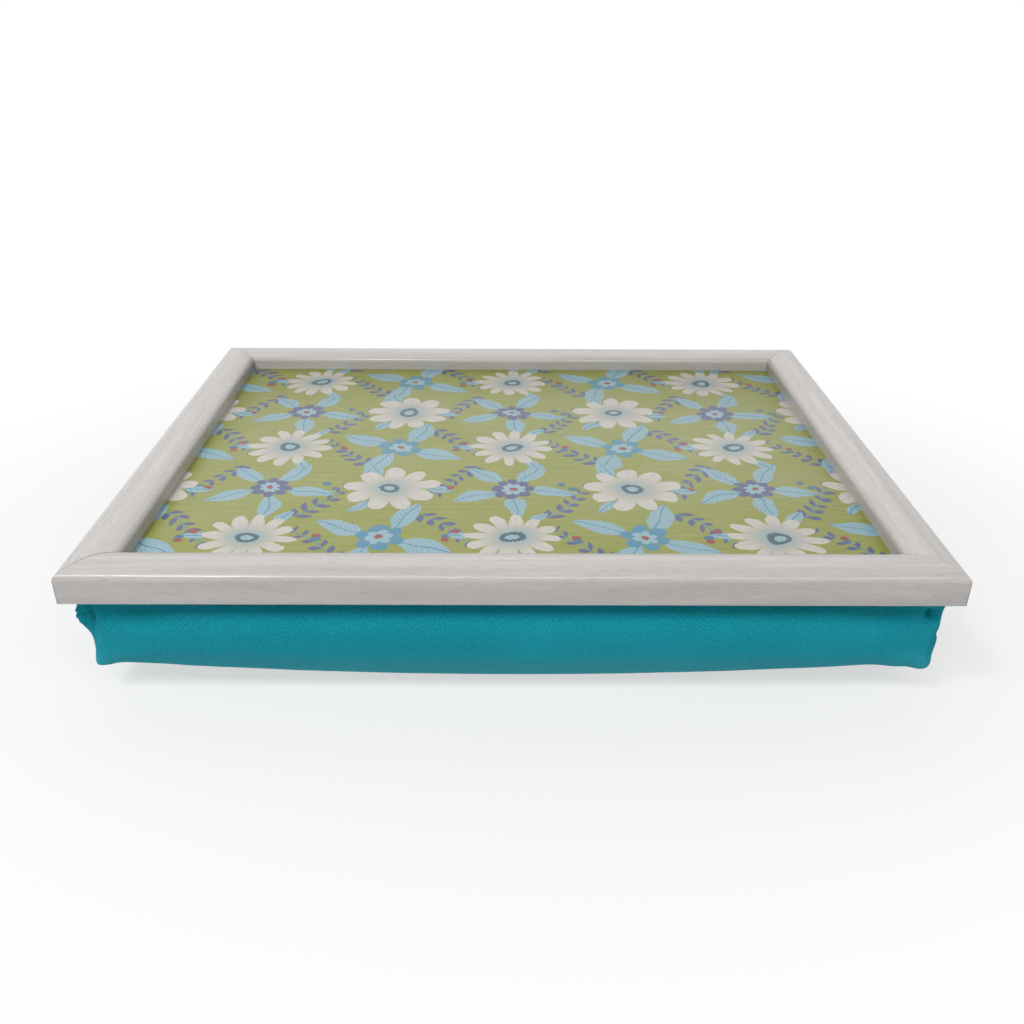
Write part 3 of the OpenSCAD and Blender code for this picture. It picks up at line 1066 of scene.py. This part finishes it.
lay_out_cloth(hem)
bpy.ops.object.shade_smooth_by_angle(angle=radians(40))
cushion.select_set(True)
bpy.context.view_layer.objects.active = cushion
bpy.ops.object.join()

# Plain weave on the cloth's own UV map: threads that go over and under, wander a little and are
# thick and thin by turns.
thread_wander = (0.0006, 0.0006, 0)
thick_scale_x = (800, 1700, 1)
thick_scale_y = (1700, 900, 1)

weave, given, result = open_group("plain weave", ("Place", "Threads"), ("Height", "Slub"))
wobble = noise(weave, given["Place"], 220.0, 2.0)[1]
bent = shift(weave, "MULTIPLY", wobble, thread_wander)
across, along = split_up(weave, shift(weave, "ADD", given["Place"], bent))[:2]
turns = times(weave, given["Threads"], 2 * pi)
warp = reckon(weave, "SINE", times(weave, across, turns))
weft = reckon(weave, "SINE", times(weave, along, turns))
over = times(weave, warp, weft)
weave.links.new(reckon(weave, "MULTIPLY_ADD", over, 0.5, 0.5), result["Height"])
thick_x = noise(weave, given["Place"], thick_scale_x, 1.0, 0.5)[0]
thick_y = noise(weave, given["Place"], thick_scale_y, 1.0, 0.5)[0]
both = reckon(weave, "ADD", thick_x, thick_y)
weave.links.new(ease(weave, both, 0.7, 1.3), result["Slub"])

# The hollows between the threads get painted shade: they are darkened in the colour.
painted_hollow_shade = 0.42
worn_most = 0.35
# Painted light: the lowest few centimetres of the cloth are painted paler, in place of the light
# bounced up from the floor.
bounce_paint_from = 0.034
bounce_paint_to = 0.006
bounce_paint_most = 0.55
wrinkle_scale = (7, 7, 95)
wrinkle_rise = 7.0
slub_rise = 0.7
weave_deep = 0.00015


def woven(name, deep, light, bounce_lit, threads, bump):
    """Plain-woven cotton in one colour, with uneven threads, painted shade in the hollows of the
    weave, and painted light that makes it paler towards the belly.
    """
    material, tree, shader = start_material(name)
    layout = tree.nodes.new("ShaderNodeUVMap")
    yarn = use_group(tree, weave, Place=layout.outputs[0], Threads=threads)
    place = object_place(tree)
    colour = paint_over(tree, yarn["Slub"], deep, light)
    # Painted shade: the hollows of the weave are darkened in the colour.
    hollow_shade = reckon(tree, "MULTIPLY_ADD", yarn["Height"], -painted_hollow_shade, painted_hollow_shade)
    colour = paint_over(tree, hollow_shade, colour, tuple(v * 0.5 for v in deep[:3]) + (1.0,))
    worn = ease(tree, noise(tree, place, 14.0, 3.0)[0], 0.4, 0.75, 0.0, worn_most)
    colour = paint_over(tree, worn, colour, light)
    # Painted light: paler towards the belly, in place of the light bounced up from the floor.
    height = split_up(tree, place)[2]
    painted_bounce = ease(tree, height, bounce_paint_from, bounce_paint_to, 0.0, bounce_paint_most)
    colour = paint_over(tree, painted_bounce, colour, bounce_lit)
    tree.links.new(colour, shader.inputs["Base Color"])
    rough = ease(tree, yarn["Slub"], 0.0, 1.0, 0.95, 0.82)
    tree.links.new(rough, shader.inputs["Roughness"])
    shader.inputs["Sheen Weight"].default_value = 0.04
    shader.inputs["Sheen Roughness"].default_value = 0.5
    shader.inputs["Specular IOR Level"].default_value = 0.15
    wrinkles = noise(tree, place, wrinkle_scale, 2.0, 0.45)[0]
    lift = reckon(tree, "MULTIPLY_ADD", yarn["Slub"], slub_rise, yarn["Height"])
    lift = reckon(tree, "MULTIPLY_ADD", wrinkles, wrinkle_rise, lift)
    raise_bump(tree, shader, lift, bump, weave_deep)
    return material


teal_deep = shade(0, 140, 158)
teal_light = shade(26, 174, 192)
# The paler teal is painted light, laid on the cloth's lowest part.
teal_bounce_lit = shade(76, 176, 188)
cotton = woven("teal cotton", teal_deep, teal_light, teal_bounce_lit, 1700.0, 0.7)
cushion.data.materials.clear()
cushion.data.materials.append(cotton)
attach(cushion, "root")
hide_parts("cushion_cover")

# Bead bag: a plain calico lining bag, sewn shut, that lies loose in the cover and keeps the
# beads together.
bag_gap = 0.004
calico_deep = shade(222, 216, 200)
calico_light = shade(234, 230, 218)
# The paler calico is painted light, laid on the bag's lowest part.
calico_bounce_lit = shade(238, 235, 226)


def draw_in(piece, gap):
    """Take a lining in from the cover by a gap all over."""
    pick(piece)
    bpy.ops.object.mode_set(mode="EDIT")
    bpy.ops.mesh.select_all(action="SELECT")
    bpy.ops.transform.shrink_fatten(value=-gap)
    bpy.ops.object.mode_set(mode="OBJECT")
    bpy.ops.object.shade_smooth()


draw_in(bead_bag, bag_gap)
lay_out_cloth(bead_bag)
calico = woven("cream calico", calico_deep, calico_light, calico_bounce_lit, 1300.0, 0.6)
bead_bag.data.materials.append(calico)
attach(bead_bag, "root")
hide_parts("bead_bag")

# Beads: some seven litres of loose white polystyrene beads, 2 to 4 mm across. They are made as
# one body with a pebbled surface, which follows the bag.
bead_gap = 0.0048
beads_per_metre = 330.0
bead_shadow = shade(196, 196, 194)
bead_white = shade(246, 246, 243)

draw_in(bead_fill, bead_gap)
beads, tree, shader = start_material("white beads")
packed = tree.nodes.new("ShaderNodeTexVoronoi")
packed.inputs["Scale"].default_value = beads_per_metre
tree.links.new(object_place(tree), packed.inputs["Vector"])
round_top = ease(tree, packed.outputs["Distance"], 0.75, 0.0)
colour = paint_over(tree, round_top, bead_shadow, bead_white)
tree.links.new(colour, shader.inputs["Base Color"])
shader.inputs["Roughness"].default_value = 0.65
raise_bump(tree, shader, round_top, 0.8, 0.001)
bead_fill.data.materials.append(beads)
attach(bead_fill, "root")
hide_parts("bead_fill")

# Staples: zinc-plated wire staples, shot up into the rails from below. Their crowns lie under
# the hem and hold it.
for side in ("front", "right", "back", "left"):
    dress_node("staples_" + side, steel)

# Studio: a plain floor that keeps the tray's soft shadow and turns to pure white further out,
# and a pale surround. One wide lamp stands high in front and one behind, and two small ones at
# the front corners put the gleam on the front rail's edge.
floor_wide = 120
floor_pale = 0.80
shadow_keeps = 0.22
shadow_gone = 0.50
near_glow = 0.62
surround_light = 0.14


def seen_directly(tree):
    """1 for what the camera sees, also through glass or in gloss."""
    path = tree.nodes.new("ShaderNodeLightPath")
    seen = reckon(tree, "MAXIMUM", path.outputs["Is Camera Ray"], path.outputs["Is Glossy Ray"])
    return reckon(tree, "MAXIMUM", seen, path.outputs["Is Transmission Ray"])


def mix_shaders(tree, share, lit, white, surface):
    """Mix the lit shader with the white one by a share."""
    mixed = tree.nodes.new("ShaderNodeMixShader")
    feed(tree, mixed.inputs, (share, lit.outputs[0], white.outputs[0]))
    tree.links.new(mixed.outputs[0], surface)


bpy.ops.object.select_all(action="DESELECT")
bpy.ops.mesh.primitive_plane_add(size=floor_wide, location=(0, 0, 0))
floor_plane = bpy.context.object
floor_plane.name = "studio_floor"
floor_white, tree, shader = start_material("studio white")
shader.inputs["Base Color"].default_value = (floor_pale, floor_pale, floor_pale, 1)
shader.inputs["Roughness"].default_value = 1.0
shader.inputs["Specular IOR Level"].default_value = 0.0
glow = tree.nodes.new("ShaderNodeEmission")
far_off = shift(tree, "LENGTH", object_place(tree, scale=(1, 1.2, 0)))
bright = ease(tree, far_off, shadow_keeps, shadow_gone, near_glow, 1.0)
glow_share = times(tree, bright, seen_directly(tree))
mix_shaders(tree, glow_share, shader, glow, tree.nodes["Material Output"].inputs["Surface"])
floor_plane.data.materials.append(floor_white)

world = bpy.data.worlds.new("pale surround")
world.use_nodes = True
tree = world.node_tree
soft_light = tree.nodes["Background"]
soft_light.inputs["Color"].default_value = (1, 1, 1, 1)
soft_light.inputs["Strength"].default_value = surround_light
white_back = tree.nodes.new("ShaderNodeBackground")
white_back.inputs["Color"].default_value = (1, 1, 1, 1)
surface = tree.nodes["World Output"].inputs["Surface"]
mix_shaders(tree, seen_directly(tree), soft_light, white_back, surface)
bpy.context.scene.world = world

tray_middle = Vector((0, 0, 0.05))
for name, place, aim, wide, deep, power in (
    ("left_strip_lamp", (-0.65, -0.72, 1.45), Vector((-0.15, -0.17, 0.07)), 0.40, 0.12, 9.0),
    ("right_strip_lamp", (0.84, -0.72, 1.45), Vector((0.20, -0.17, 0.07)), 0.14, 0.12, 0.8),
    ("back_lamp", (-0.12, 0.80, 1.00), tray_middle, 2.0, 1.2, 6.8),
    ("front_lamp", (-0.12, -1.02, 1.45), tray_middle, 2.4, 0.36, 15.9),
):
    bpy.ops.object.light_add(type="AREA", location=place)
    lamp = bpy.context.object
    lamp.name = name
    lamp.data.shape = "RECTANGLE"
    lamp.data.size = wide
    lamp.data.size_y = deep
    lamp.data.energy = power
    lamp.rotation_euler = (aim - Vector(place)).to_track_quat("-Z", "Y").to_euler()
bpy.context.scene.view_settings.view_transform = "Standard"
